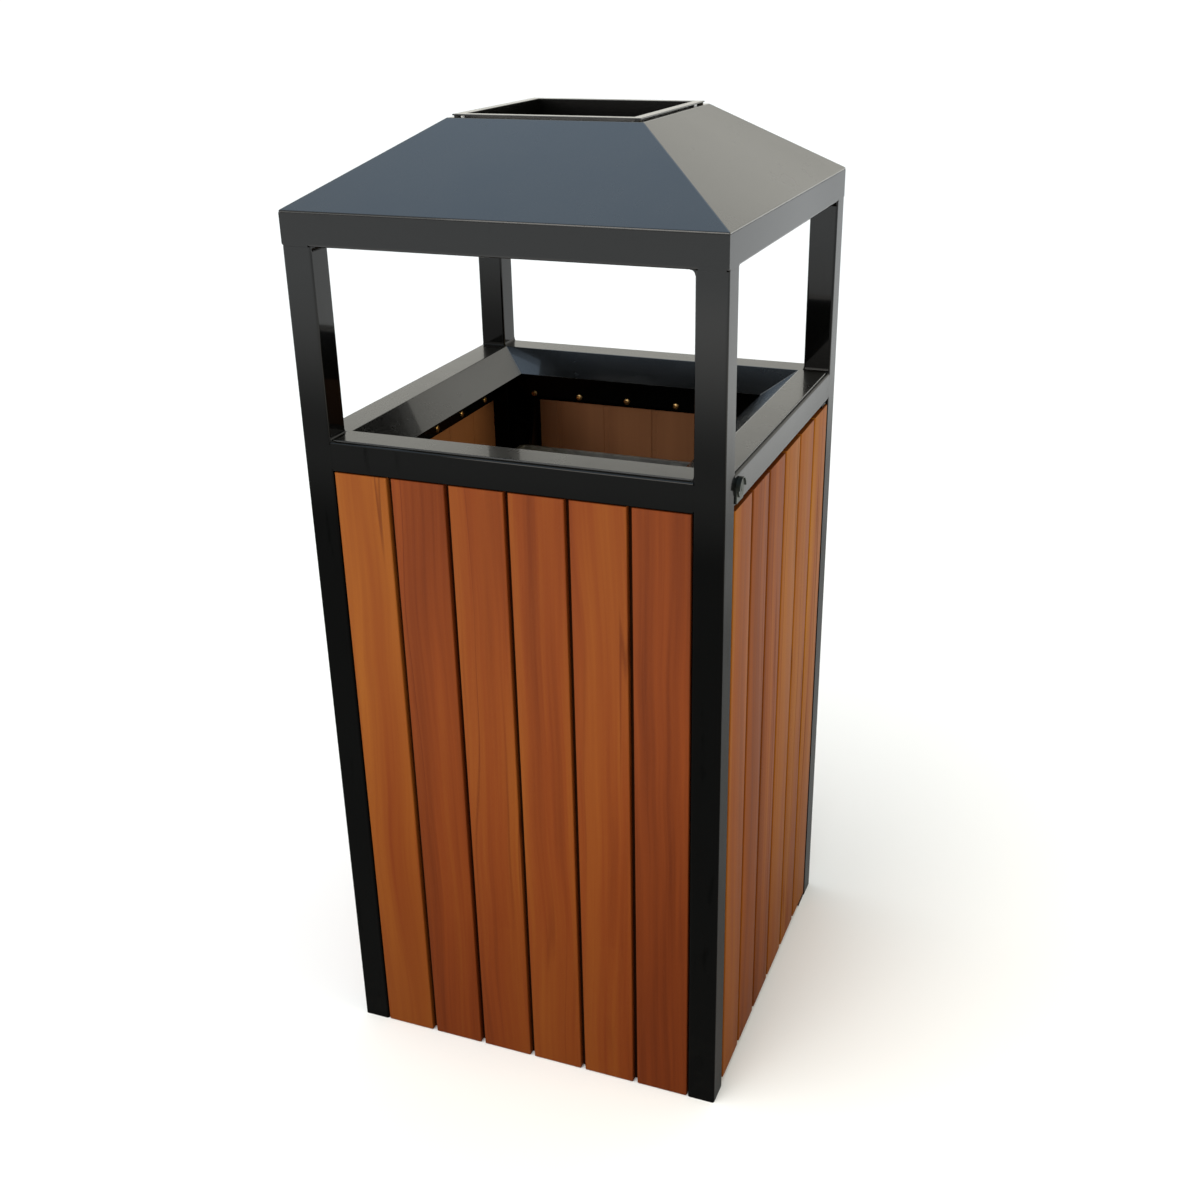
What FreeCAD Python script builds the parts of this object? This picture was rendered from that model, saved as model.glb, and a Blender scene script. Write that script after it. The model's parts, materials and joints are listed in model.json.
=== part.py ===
# Street litter bin: square tube frame, timber slat walls, hipped sheet roof with an ash
# pan, folded mouth funnel, loose liner, and a pivoted slat door with a cam lock.
#
# Frame: millimetres, +Z up, origin on the ground under the middle of the bin. The front
# wall faces -Y, and the door is the right wall, which faces +X.
#
# Wall pieces are drawn as if they stood in the front wall, where a sketch's first axis
# runs along the wall and its second runs up. A number of quarter turns about Z then
# puts each one in its own wall.

import FreeCAD, Part
import math
import os
import re
import Sketcher
from FreeCAD import Placement, Rotation, Vector

SIZES = {
    # frame of square tube
    "plan_half": 215.0,
    "tube": 30.0,
    "tube_wall": 2.0,
    "tube_corner": 2.5,
    "post_top": 893.0,
    "rail_low": 677.0,
    # flat bars and angles behind the slats
    "bar_wide": 36.0,
    "bar_thick": 3.0,
    "bar_face": 200.0,
    "angle_wide": 15.0,
    "angle_high": 20.0,
    "angle_thick": 3.0,
    "foot_thick": 4.0,
    "foot_reach": 75.0,
    "foot_corner_cut": 20.0,
    "anchor_half": 158.0,
    "anchor_radius": 5.5,
    "sill_clear": 8.0,
    # floor pan
    "floor_thick": 1.5,
    "floor_half": 198.0,
    "floor_door_edge": 190.0,
    "floor_notch": 118.0,
    "drain_half": 60.0,
    "drain_radius": 8.0,
    # timber slats
    "slat_wide": 57.0,
    "slat_gap": 5.0,
    "slat_thick": 12.0,
    "slat_low": 1.0,
    "slat_top": 676.5,
    "slat_ease": 1.2,
    "lip_thick": 4.0,
    "lip_gap": 0.6,
    "screw_low": 32.0,
    "screw_high": 648.0,
    "screw_radius": 2.0,
    "screw_reach": 13.0,
    "screw_head_radius": 4.0,
    "screw_head_high": 2.2,
    "screw_slack": 0.3,
    # roof
    "eave_edge": 2.0,
    "roof_rise": 72.0,
    "roof_top_half": 98.0,
    "roof_hole_half": 86.5,
    "roof_lap": 1.0,
    "roof_sheet": 2.0,
    # ash pan
    "ash_flange_half": 94.0,
    "ash_half": 85.5,
    "ash_sheet": 1.5,
    "ash_deep": 60.0,
    "buffer_high": 1.5,
    "buffer_radius": 3.2,
    "buffer_half": 90.2,
    # mouth funnel
    "funnel_sheet": 2.0,
    "funnel_flange_half": 212.0,
    "funnel_notch": 184.5,
    "funnel_crease_half": 180.6,
    "funnel_edge_half": 146.0,
    "funnel_drop": 22.5,
    "funnel_spread": 3.65,
    "funnel_under_crease": 0.6,
    # liner
    "liner_half": 150.0,
    "liner_sheet": 1.2,
    "liner_corner": 6.0,
    "liner_top": 597.0,
    "rim_out": 5.0,
    "rim_high": 7.0,
    "rim_round": 2.4,
    # liner handles
    "handle_level": 560.0,
    "handle_off": 155.0,
    "handle_drop": 38.0,
    "handle_pin_end": 36.0,
    "handle_half": 52.0,
    "handle_bend": 6.0,
    "wire_radius": 2.5,
    "running_slack": 0.05,
    "ear_inner": 38.0,
    "ear_thick": 6.0,
    "ear_half_high": 6.0,
    "ear_out": 9.5,
    # door
    "door_half": 182.0,
    "door_low": 8.0,
    "door_top": 672.0,
    "pivot_along": 173.0,
    "pivot_out": 208.5,
    "pin_radius": 3.0,
    "pin_top": 681.0,
    "pin_low": 0.6,
    "lug_thick": 3.0,
    "lug_inner": 163.0,
    "lug_out": 213.0,
    "tab_inner": 160.0,
    "tab_out": 214.5,
    "catch_wide": 16.0,
    "catch_low": 645.0,
    "catch_high": 668.0,
    "catch_reach": 171.0,
    # cam lock
    "lock_along": 173.0,
    "lock_level": 692.0,
    "plate_half": 10.5,
    "plate_foot": 12.5,
    "plate_thick": 1.5,
    "hood_thick": 1.2,
    "hood_out": 3.0,
    "barrel_radius": 7.9,
    "barrel_back": 181.0,
    "barrel_head_radius": 8.8,
    "barrel_head_thick": 1.5,
    "nut_flats_half": 10.0,
    "nut_thick": 4.0,
    "plug_radius": 5.5,
    "keyway_half_wide": 0.9,
    "keyway_half_high": 3.0,
    "keyway_deep": 4.0,
    "cam_thick": 3.0,
    "cam_gap": 0.4,
    "cam_half_wide": 8.0,
    "cam_reach": 27.0,
    "cam_screw_radius": 2.0,
    "cam_screw_deep": 7.0,
    "cam_screw_head_radius": 4.0,
    "cam_screw_head_high": 2.2,
}

FRONT, RIGHT, BACK, LEFT = range(4)
SIDES = ("front", "right", "back", "left")
CORNERS = ("front_left", "front_right", "back_right", "back_left")
RIGHT_ANGLE = 90
UP = Vector(0, 0, 1)
X, Z = 0, 2

SLAT_COUNT = 6
DOOR_SLAT = f"((2 * door_half - {SLAT_COUNT - 1} * slat_gap) / {SLAT_COUNT})"
BAIL_EDGES = 9

# sketch points and axes, as the Sketcher numbers them
ORIGIN, START, END, CENTRE = -1, 1, 2, 3
AXIS_OF = {"DistanceX": -2, "DistanceY": -1}
NEAR = 1e-6

doc = FreeCAD.newDocument("litter_bin")
sheet = doc.addObject("Spreadsheet::Sheet", "Sizes")
for row, (alias, size) in enumerate(SIZES.items(), start=1):
    sheet.set(f"A{row}", alias)
    sheet.set(f"B{row}", str(size))
    sheet.setAlias(f"B{row}", alias)
doc.recompute()

nodes = []
cuts = []


# ---- expressions ---------------------------------------------------------------------

def bound(text):
    """The expression, with each cell's name led by its sheet"""
    return re.sub(r"\b([a-z][a-z_]+)\b", r"Sizes.\1", text)


def number(text):
    """What an expression comes to, for the first drawing of what it then holds"""
    return float(sheet.evalExpression(text))


def hold(sketch, kind, geometry, point, expression):
    """Bind a point's distance from the sketch's origin, along one axis, to an expression"""
    reading = number(expression)
    if abs(reading) < NEAR:
        sketch.addConstraint(
            Sketcher.Constraint("PointOnObject", geometry, point, AXIS_OF[kind]))
        return
    ends = (ORIGIN, START, geometry, point)
    if reading < 0:
        ends = (geometry, point, ORIGIN, START)
        expression = f"-({expression})"
    made = sketch.addConstraint(Sketcher.Constraint(kind, *ends, abs(reading)))
    sketch.setExpression(f"Constraints[{made}]", bound(expression))


def hold_point(sketch, geometry, point, across, up):
    hold(sketch, "DistanceX", geometry, point, across)
    hold(sketch, "DistanceY", geometry, point, up)


def hold_radius(sketch, geometry, radius):
    made = sketch.addConstraint(Sketcher.Constraint("Radius", geometry, number(radius)))
    sketch.setExpression(f"Constraints[{made}]", bound(radius))


def spot(across, up):
    return Vector(number(across), number(up), 0)


# ---- sketches ------------------------------------------------------------------------

def make_body(label, quarter_turns=FRONT, kept=True):
    """An empty body, turned into its wall; a body that is not kept goes into a group"""
    body = doc.addObject("PartDesign::Body", label)
    body.Label = label
    body.Placement = Placement(Vector(), Rotation(UP, RIGHT_ANGLE * quarter_turns))
    if kept:
        nodes.append(body)
    return body


def make_sketch(body, role, level="0"):
    """An empty sketch on one of the body's own planes, moved along the plane's normal"""
    plane = next(f for f in body.Origin.OriginFeatures if f.Role == role)
    sketch = body.newObject("Sketcher::SketchObject", body.Name + "_sketch")
    sketch.AttachmentSupport = [(plane, "")]
    sketch.MapMode = "FlatFace"
    sketch.setExpression("AttachmentOffset.Base.z", bound(level))
    return sketch


def draw_outline(sketch, corners):
    """A closed loop of straight lines through the corners"""
    places = [spot(across, up) for across, up in corners]
    first = sketch.GeometryCount
    for start, end in zip(places, places[1:] + places[:1]):
        sketch.addGeometry(Part.LineSegment(start, end))
    for index, (across, up) in enumerate(corners):
        before = first + (index - 1) % len(corners)
        sketch.addConstraint(
            Sketcher.Constraint("Coincident", before, END, first + index, START))
        hold_point(sketch, first + index, START, across, up)


def draw_rectangle(sketch, left, right, low, high):
    draw_outline(sketch, [(left, low), (right, low), (right, high), (left, high)])


def draw_square(sketch, half):
    draw_rectangle(sketch, f"-({half})", half, f"-({half})", half)


def draw_circle(sketch, across, up, radius):
    circle = sketch.addGeometry(Part.Circle(spot(across, up), UP, number(radius)))
    hold_point(sketch, circle, CENTRE, across, up)
    hold_radius(sketch, circle, radius)


def draw_holes(sketch, middles, levels, radius):
    """A circle at every place where a column of holes crosses a row of them"""
    for middle in middles:
        for level in levels:
            draw_circle(sketch, middle, level, radius)


def draw_runs(sketch, runs):
    """Separate straight lines, with both ends of each one held"""
    for start, end in runs:
        line = sketch.addGeometry(Part.LineSegment(spot(*start), spot(*end)))
        hold_point(sketch, line, START, *start)
        hold_point(sketch, line, END, *end)


def draw_bends(sketch, middles, bend, first_quarter):
    """Left-hand quarter arcs that join each line drawn so far to the next one"""
    lines = sketch.GeometryCount
    for before, (across, up) in enumerate(middles):
        angle = (before + first_quarter) * math.pi / 2
        circle = Part.Circle(spot(across, up), UP, number(bend))
        arc = sketch.addGeometry(Part.ArcOfCircle(circle, angle, angle + math.pi / 2))
        after = (before + 1) % lines
        sketch.addConstraint(Sketcher.Constraint("Coincident", arc, START, before, END))
        sketch.addConstraint(Sketcher.Constraint("Coincident", arc, END, after, START))
        hold_radius(sketch, arc, bend)


def draw_round_square(sketch, half, bend):
    """A square about the origin with round corners"""
    low, high = f"-({half})", half
    near_low, near_high = f"{bend} - ({half})", f"{half} - ({bend})"
    draw_runs(sketch, [
        ((near_low, low), (near_high, low)),
        ((high, near_low), (high, near_high)),
        ((near_high, high), (near_low, high)),
        ((low, near_high), (low, near_low)),
    ])
    middles = [(near_high, near_low), (near_high, near_high),
               (near_low, near_high), (near_low, near_low)]
    draw_bends(sketch, middles, bend, first_quarter=3)


def draw_bail(sketch, pin_end, half, top, bottom, bend):
    """Open centre line of a drop handle: pin, leg, grip, leg and pin, with round bends"""
    near_left, near_right = f"{bend} - {half}", f"{half} - {bend}"
    under_top, over_bottom = f"{top} - {bend}", f"{bottom} + {bend}"
    draw_runs(sketch, [
        ((f"-{pin_end}", top), (near_left, top)),
        ((f"-{half}", under_top), (f"-{half}", over_bottom)),
        ((near_left, bottom), (near_right, bottom)),
        ((half, over_bottom), (half, under_top)),
        ((near_right, top), (pin_end, top)),
    ])
    middles = [(near_left, under_top), (near_left, over_bottom),
               (near_right, over_bottom), (near_right, under_top)]
    draw_bends(sketch, middles, bend, first_quarter=1)


# ---- features ------------------------------------------------------------------------

def pad(body, sketch, length, symmetric=False):
    """Material along the sketch's normal"""
    feature = body.newObject("PartDesign::Pad", body.Name + "_pad")
    feature.Profile = sketch
    feature.setExpression("Length", bound(length))
    if symmetric:
        feature.SideType = "Symmetric"
    return feature


def cut(body, sketch, length):
    """A pocket along the sketch's normal, which has to take some material away"""
    before = body.Tip
    feature = body.newObject("PartDesign::Pocket", body.Name + "_pocket")
    feature.Profile = sketch
    feature.setExpression("Length", bound(length))
    feature.Reversed = True
    cuts.append((before, feature))
    return feature


def loft(body, kind, low_half, low_level, high_half, high_level):
    """A four-sided taper between two level squares, added or taken away"""
    before = body.Tip
    squares = []
    for half, level in ((low_half, low_level), (high_half, high_level)):
        sketch = make_sketch(body, "XY_Plane", level)
        draw_square(sketch, half)
        squares.append(sketch)
    feature = body.newObject("PartDesign::" + kind, body.Name + "_taper")
    feature.Profile = squares[0]
    feature.Sections = [(squares[1], [""])]
    feature.Ruled = True
    if kind == "SubtractiveLoft":
        cuts.append((before, feature))
    return feature


def pad_plate(body, half, level, thick):
    """A level square plate"""
    sketch = make_sketch(body, "XY_Plane", level)
    draw_square(sketch, half)
    return pad(body, sketch, thick)


def cut_square(body, half, level, deep):
    """A level square hole, upwards from its level"""
    sketch = make_sketch(body, "XY_Plane", level)
    draw_square(sketch, half)
    return cut(body, sketch, deep)


def long_corner_edges(shape, axis):
    """Names of the straight edges that run along an axis at the shape's outer corners"""
    box = shape.BoundBox
    limits = ((box.XMin, box.XMax), (box.YMin, box.YMax), (box.ZMin, box.ZMax))
    others = [n for n in range(3) if n != axis]
    names = []
    for index, edge in enumerate(shape.Edges, start=1):
        run = edge.Vertexes[-1].Point - edge.Vertexes[0].Point
        along = run.Length > NEAR and abs(abs(run[axis]) - run.Length) < NEAR
        middle = edge.CenterOfMass
        outer = all(min(abs(middle[n] - end) for end in limits[n]) < NEAR for n in others)
        if along and outer:
            names.append(f"Edge{index}")
    return names


def level_edges_outside(shape, half, levels):
    """Names of the level edges at those levels that lie outside a square"""
    names = []
    for index, edge in enumerate(shape.Edges, start=1):
        middle, box = edge.CenterOfMass, edge.BoundBox
        flat = any(abs(box.ZMin - level) < NEAR > abs(box.ZMax - level) for level in levels)
        if flat and max(abs(middle.x), abs(middle.y)) > half + NEAR:
            names.append(f"Edge{index}")
    return names


def round_edges(body, feature, edges, radius):
    """Fillets of one radius on the named edges"""
    fillet = body.newObject("PartDesign::Fillet", body.Name + "_round")
    fillet.Base = (feature, edges)
    fillet.setExpression("Radius", bound(radius))
    doc.recompute()
    return fillet


def round_corners(body, feature, axis, radius):
    """Fillets on the feature's outer corners along one axis"""
    doc.recompute()
    return round_edges(body, feature, long_corner_edges(feature.Shape, axis), radius)


def make_group(label, members):
    """Separate pieces that share one node"""
    group = doc.addObject("Part::Compound", label)
    group.Label = label
    group.Links = members
    nodes.append(group)


def slat_middles(wide):
    """Middles of the wall's slats along the wall, as expressions"""
    return [f"{index - (SLAT_COUNT - 1) / 2} * ({wide} + slat_gap)"
            for index in range(SLAT_COUNT)]


# ---- frame ---------------------------------------------------------------------------

def make_posts():
    for turns, corner in enumerate(CORNERS):
        body = make_body("post_" + corner, turns)
        sketch = make_sketch(body, "XY_Plane")
        outer = ("-plan_half", "tube - plan_half")
        inner = ("tube_wall - plan_half", "tube - tube_wall - plan_half")
        draw_rectangle(sketch, *outer, *outer)
        draw_rectangle(sketch, *inner, *inner)
        tube = pad(body, sketch, "post_top")
        round_corners(body, tube, Z, "tube_corner")


def draw_rail_tube(sketch, low):
    """Section of a level tube in the front wall, seen along the wall"""
    draw_rectangle(sketch, "-plan_half", "tube - plan_half", low, f"{low} + tube")
    draw_rectangle(sketch, "tube_wall - plan_half", "tube - tube_wall - plan_half",
                   f"{low} + tube_wall", f"{low} + tube - tube_wall")


def make_eave_beams():
    """Four tubes with mitred ends, in a ring on top of the posts"""
    for turns, side in enumerate(SIDES):
        body = make_body("eave_beam_" + side, turns)
        sketch = make_sketch(body, "YZ_Plane")
        draw_rail_tube(sketch, "post_top")
        tube = pad(body, sketch, "2 * plan_half", symmetric=True)
        round_corners(body, tube, X, "tube_corner")
        mitres = make_sketch(body, "XY_Plane", "post_top - tube_wall")
        for end in ("-", ""):
            draw_outline(mitres, [
                (f"{end}(plan_half - tube)", "tube - plan_half"),
                (f"{end}(plan_half + tube_wall)", "-plan_half - tube_wall"),
                (f"{end}(plan_half + tube_wall)", "tube - plan_half + tube_wall"),
                (f"{end}(plan_half - tube)", "tube - plan_half + tube_wall"),
            ])
        cut(body, mitres, "tube + 2 * tube_wall")


def make_top_rails():
    """Four tubes between the posts; the door's one has the pivot and lock holes"""
    for turns, side in enumerate(SIDES):
        body = make_body("top_rail_" + side, turns)
        sketch = make_sketch(body, "YZ_Plane")
        draw_rail_tube(sketch, "rail_low")
        tube = pad(body, sketch, "2 * (plan_half - tube)", symmetric=True)
        round_corners(body, tube, X, "tube_corner")
        if turns == RIGHT:
            pivot = make_sketch(body, "XY_Plane", "rail_low")
            draw_circle(pivot, "pivot_along", "-pivot_out", "pin_radius + running_slack")
            cut(body, pivot, "tube_wall")
            lock = make_sketch(body, "XZ_Plane", "plan_half - tube")
            draw_circle(lock, "-lock_along", "lock_level", "barrel_radius + screw_slack")
            cut(body, lock, "tube")


def make_bottom_rails():
    """Angles between the post feet, with a door sill set further in"""
    rails = []
    for turns in (FRONT, BACK, LEFT, RIGHT):
        body = make_body("bottom_rail_" + SIDES[turns], turns, kept=False)
        inset = "sill_clear" if turns == RIGHT else "0"
        outer = f"{inset} - bar_face"
        top = "foot_thick + angle_high"
        sketch = make_sketch(body, "YZ_Plane")
        draw_outline(sketch, [
            (outer, "foot_thick"),
            (f"{outer} + angle_thick", "foot_thick"),
            (f"{outer} + angle_thick", f"{top} - angle_thick"),
            (f"{outer} + angle_wide", f"{top} - angle_thick"),
            (f"{outer} + angle_wide", top),
            (outer, top),
        ])
        pad(body, sketch, "2 * (plan_half - tube)", symmetric=True)
        rails.append(body)
    make_group("bottom_rails", rails)


def make_foot_plates():
    """Plates inside the post feet, each with one ground anchor hole"""
    plates = []
    for turns, corner in enumerate(CORNERS):
        body = make_body("foot_plate_" + corner, turns, kept=False)
        sketch = make_sketch(body, "XY_Plane")
        post, edge, reach = "tube - plan_half", "-bar_face", "foot_reach - bar_face"
        draw_outline(sketch, [
            (post, edge),
            (reach, edge),
            (reach, f"{reach} - foot_corner_cut"),
            (f"{reach} - foot_corner_cut", reach),
            (edge, reach),
            (edge, post),
            (post, post),
        ])
        draw_circle(sketch, "-anchor_half", "-anchor_half", "anchor_radius")
        pad(body, sketch, "foot_thick")
        plates.append(body)
    make_group("foot_plates", plates)


def make_floor_pan():
    """Sheet floor, cut away at the corners to reach the anchor bolts"""
    body = make_body("floor_pan")
    sketch = make_sketch(body, "XY_Plane", "foot_thick + angle_high")
    half, door, notch = "floor_half", "floor_door_edge", "floor_notch"
    draw_outline(sketch, [
        (f"-{notch}", f"-{half}"),
        (notch, f"-{half}"),
        (notch, f"-{notch}"),
        (door, f"-{notch}"),
        (door, notch),
        (notch, notch),
        (notch, half),
        (f"-{notch}", half),
        (f"-{notch}", notch),
        (f"-{half}", notch),
        (f"-{half}", f"-{notch}"),
        (f"-{notch}", f"-{notch}"),
    ])
    draw_holes(sketch, ("-drain_half", "drain_half"), ("-drain_half", "drain_half"),
               "drain_radius")
    pad(body, sketch, "floor_thick")


# ---- slat walls ----------------------------------------------------------------------

def make_bar(name, turns, left, right, low, high, hole_levels=(), wide="slat_wide"):
    """A flat bar behind the slats, with a row of screw holes"""
    body = make_body(name, turns, kept=False)
    sketch = make_sketch(body, "XZ_Plane", "bar_face")
    draw_rectangle(sketch, left, right, low, high)
    draw_holes(sketch, slat_middles(wide), hole_levels, "screw_radius + screw_slack")
    pad(body, sketch, "bar_thick")
    return body


def make_bar_frame(name, turns, half, low, high, wide, uprights):
    """A top and a bottom bar, with an upright at each end where the wall has them"""
    edges = (f"-({half})", half)
    over_low, under_high = f"{low} + bar_wide", f"{high} - bar_wide"
    bars = [
        make_bar(name + "_low", turns, *edges, low, over_low, ("screw_low",), wide),
        make_bar(name + "_high", turns, *edges, under_high, high, ("screw_high",), wide),
    ]
    if uprights:
        left_inner, right_inner = f"bar_wide - {half}", f"{half} - bar_wide"
        bars.append(make_bar(name + "_near", turns, edges[0], left_inner,
                             over_low, under_high))
        bars.append(make_bar(name + "_far", turns, right_inner, edges[1],
                             over_low, under_high))
    return bars


def make_fixing_bars():
    """Flat bars that are welded to the frame and carry the fixed slats"""
    bars = []
    for turns, uprights in ((FRONT, True), (BACK, True), (LEFT, False)):
        bars += make_bar_frame("fixing_bar_" + SIDES[turns], turns, "(plan_half - tube)",
                               "foot_thick", "rail_low", "slat_wide", uprights)
    make_group("slat_fixing_bars", bars)


def make_slat(label, turns, middle, wide, low, high, lipped):
    """A board with eased edges and two blind pilot holes in its inner face

    A lip along one edge closes the gap to the next board from behind.
    """
    body = make_body(label, turns)
    face = "bar_face + bar_thick"
    edge = f"{middle} + {wide} / 2"
    sketch = make_sketch(body, "XZ_Plane", face)
    draw_rectangle(sketch, f"{middle} - {wide} / 2", edge, low, high)
    board = pad(body, sketch, "slat_thick")
    round_corners(body, board, Z, "slat_ease")
    if lipped:
        lip = make_sketch(body, "XZ_Plane", face)
        draw_rectangle(lip, f"{edge} - 2 * slat_ease", f"{edge} + slat_gap - lip_gap",
                       low, high)
        pad(body, lip, "lip_thick")
    pilots = make_sketch(body, "XZ_Plane", face)
    draw_holes(pilots, (middle,), ("screw_low", "screw_high"), "screw_radius")
    cut(body, pilots, "screw_reach - bar_thick")


def make_slats():
    for turns in (FRONT, BACK, LEFT):
        for index, middle in enumerate(slat_middles("slat_wide"), start=1):
            make_slat(f"{SIDES[turns]}_slat_{index}", turns, middle, "slat_wide",
                      "slat_low", "slat_top", index < SLAT_COUNT)
    for index, middle in enumerate(slat_middles(DOOR_SLAT), start=1):
        make_slat(f"door_slat_{index}", RIGHT, middle, DOOR_SLAT, "door_low", "door_top",
                  index < SLAT_COUNT)


def make_screws(label, walls, wide):
    """Pan head screws from inside, two to a slat"""
    screws = []
    for turns in walls:
        body = make_body(f"{label}_{SIDES[turns]}", turns, kept=False)
        levels = ("screw_low", "screw_high")
        heads = make_sketch(body, "XZ_Plane", "bar_face - screw_head_high")
        draw_holes(heads, slat_middles(wide), levels, "screw_head_radius")
        pad(body, heads, "screw_head_high")
        shanks = make_sketch(body, "XZ_Plane", "bar_face")
        draw_holes(shanks, slat_middles(wide), levels, "screw_radius")
        pad(body, shanks, "screw_reach")
        screws.append(body)
    make_group(label, screws)


# ---- roof, ash pan and funnel --------------------------------------------------------

def make_roof():
    """Hipped sheet hood with a square hole in its flat top"""
    body = make_body("roof_hood")
    eave = "post_top + tube"
    fold = "post_top + tube + eave_edge"
    top = f"{fold} + roof_rise"
    pad_plate(body, "plan_half", eave, "eave_edge")
    loft(body, "AdditiveLoft", "plan_half", fold, "roof_top_half", top)
    loft(body, "SubtractiveLoft", "plan_half - roof_lap", eave,
         "roof_top_half - roof_lap", f"{top} - roof_sheet")
    cut_square(body, "roof_hole_half", f"{top} - 2 * roof_sheet", "3 * roof_sheet")


def make_ash_pan():
    """Lift-out pan that hangs by its flange in the roof's hole, on four rubber buffers"""
    roof_top = "post_top + tube + eave_edge + roof_rise"
    flange = f"{roof_top} + buffer_high"
    bottom = f"{flange} + ash_sheet - ash_deep"
    buffers = make_body("ash_pan_buffers")
    discs = make_sketch(buffers, "XY_Plane", roof_top)
    draw_holes(discs, ("-buffer_half", "buffer_half"), ("-buffer_half", "buffer_half"),
               "buffer_radius")
    pad(buffers, discs, "buffer_high")
    pan = make_body("ash_pan")
    pad_plate(pan, "ash_half", bottom, "ash_deep - ash_sheet")
    pad_plate(pan, "ash_flange_half", flange, "ash_sheet")
    cut_square(pan, "ash_half - ash_sheet", f"{bottom} + ash_sheet", "ash_deep")


def make_funnel():
    """Folded sheet: a flange on the top rails, then a slope down to the liner's mouth"""
    body = make_body("mouth_funnel")
    seat = "rail_low + tube"
    top = f"{seat} + funnel_sheet"
    edge = f"{top} - funnel_drop"
    loft(body, "AdditiveLoft", "funnel_edge_half + funnel_spread", edge,
         "funnel_crease_half + funnel_under_crease", seat)
    pad_plate(body, "funnel_flange_half", seat, "funnel_sheet")
    loft(body, "SubtractiveLoft", "funnel_edge_half", edge, "funnel_crease_half", top)
    notches = make_sketch(body, "XY_Plane", seat)
    for across in ("-", ""):
        for up in ("-", ""):
            draw_rectangle(notches, f"{across}funnel_notch", f"{across}plan_half",
                           f"{up}funnel_notch", f"{up}plan_half")
    cut(body, notches, "2 * funnel_sheet")


# ---- liner ---------------------------------------------------------------------------

def make_liner():
    """Open sheet box with a rolled rim, standing loose on the floor pan"""
    body = make_body("liner")
    floor = "foot_thick + angle_high + floor_thick"
    under_rim = "liner_top - rim_high"
    layers = (
        ("liner_half", "liner_corner", floor, f"liner_top - ({floor})"),
        ("liner_half + rim_out", "liner_corner + rim_out", under_rim, "rim_high"),
    )
    for half, corner, level, high in layers:
        sketch = make_sketch(body, "XY_Plane", level)
        draw_round_square(sketch, half, corner)
        rim = pad(body, sketch, high)
    doc.recompute()
    lips = level_edges_outside(rim.Shape, number("liner_half"),
                               (number("liner_top"), number(under_rim)))
    round_edges(body, rim, lips, "rim_round")
    inside = make_sketch(body, "XY_Plane", f"{floor} + liner_sheet")
    draw_round_square(inside, "liner_half - liner_sheet", "liner_corner - liner_sheet")
    cut(body, inside, "liner_top")


def make_liner_ears():
    """Ears on two sides of the liner, in which its drop handles turn"""
    ears = []
    for turns in (RIGHT, LEFT):
        for side, level in (("near", "-ear_inner - ear_thick"), ("far", "ear_inner")):
            body = make_body(f"liner_ear_{SIDES[turns]}_{side}", turns, kept=False)
            sketch = make_sketch(body, "YZ_Plane", level)
            draw_rectangle(sketch, "-liner_half - ear_out", "-liner_half",
                           "handle_level - ear_half_high", "handle_level + ear_half_high")
            draw_circle(sketch, "-handle_off", "handle_level",
                        "wire_radius + running_slack")
            pad(body, sketch, "ear_thick")
            ears.append(body)
    make_group("liner_handle_ears", ears)


def make_liner_handles():
    for turns in (RIGHT, LEFT):
        body = make_body("liner_handle_" + SIDES[turns], turns)
        path = make_sketch(body, "XZ_Plane", "handle_off")
        draw_bail(path, "handle_pin_end", "handle_half", "handle_level",
                  "(handle_level - handle_drop)", "handle_bend")
        section = make_sketch(body, "YZ_Plane", "-handle_pin_end")
        draw_circle(section, "-handle_off", "handle_level", "wire_radius")
        doc.recompute()
        wire = body.newObject("PartDesign::AdditivePipe", body.Name + "_wire")
        wire.Profile = section
        wire.Spine = (path, [f"Edge{index}" for index in range(1, BAIL_EDGES + 1)])


# ---- door ----------------------------------------------------------------------------

def make_door_frame():
    make_group("door_frame", make_bar_frame(
        "door_bar", RIGHT, "door_half", "door_low", "door_top", DOOR_SLAT, True))


def make_door_pivots():
    """A lug over the door's frame and one under it, each with a pivot pin"""
    lugs = (
        ("door_pivot_top", "door_top", "pin_top"),
        ("door_pivot_low", "door_low - lug_thick", "pin_low"),
    )
    pivots = []
    for name, lug_level, pin_end in lugs:
        body = make_body(name, RIGHT, kept=False)
        lug = make_sketch(body, "XY_Plane", lug_level)
        draw_rectangle(lug, "lug_inner", "door_half", "-lug_out", "-bar_face")
        pad(body, lug, "lug_thick")
        low, high = sorted((f"{lug_level}", pin_end), key=number)
        pin = make_sketch(body, "XY_Plane", low)
        draw_circle(pin, "pivot_along", "-pivot_out", "pin_radius")
        pad(body, pin, f"{high} - ({low})")
        pivots.append(body)
    make_group("door_pivots", pivots)


def make_pivot_tab():
    """Tab on the rear right post's foot, with the lower pivot's hole"""
    body = make_body("lower_pivot_tab", RIGHT)
    sketch = make_sketch(body, "XY_Plane")
    draw_rectangle(sketch, "tab_inner", "plan_half - tube", "-tab_out", "-bar_face")
    draw_circle(sketch, "pivot_along", "-pivot_out", "pin_radius + running_slack")
    pad(body, sketch, "foot_thick")


def make_door_catch():
    """Hooked strip on the door's frame that the lock's cam turns down in front of"""
    body = make_body("door_catch", RIGHT)
    sketch = make_sketch(body, "YZ_Plane", "-lock_along - catch_wide / 2")
    draw_outline(sketch, [
        ("-bar_face", "catch_low"),
        ("-catch_reach", "catch_low"),
        ("-catch_reach", "catch_high"),
        ("-catch_reach - bar_thick", "catch_high"),
        ("-catch_reach - bar_thick", "catch_low + bar_thick"),
        ("bar_thick - bar_face", "catch_low + bar_thick"),
        ("bar_thick - bar_face", "catch_high"),
        ("-bar_face", "catch_high"),
    ])
    pad(body, sketch, "catch_wide")


# ---- cam lock ------------------------------------------------------------------------

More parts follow.
